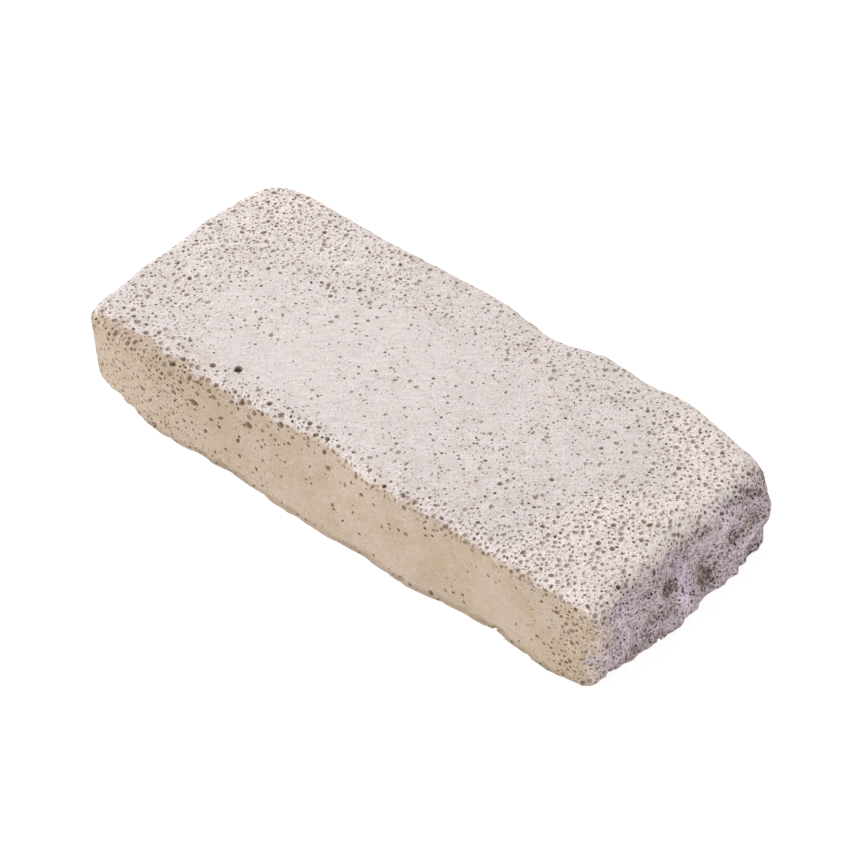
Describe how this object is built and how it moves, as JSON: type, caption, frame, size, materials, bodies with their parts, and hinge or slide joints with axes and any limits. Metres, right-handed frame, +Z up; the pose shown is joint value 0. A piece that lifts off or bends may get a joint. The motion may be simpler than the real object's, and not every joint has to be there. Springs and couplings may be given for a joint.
{
  "type": "pumice stone",
  "caption": "Flat hand-sized slab of natural pumice with worn edges and a broken end, for rubbing skin smooth.",
  "frame": {"origin": "on the flat underside, under the middle of the stone's box", "axes": "+X along the length towards the broken end, +Y across to the back side, +Z up through the thickness"},
  "size_m": [0.1544, 0.068, 0.0243],
  "materials": {
    "pumice": "matte"
  },
  "bodies": {
    "root": {"pumice_stone": "pumice"}
  },
  "joints": []
}
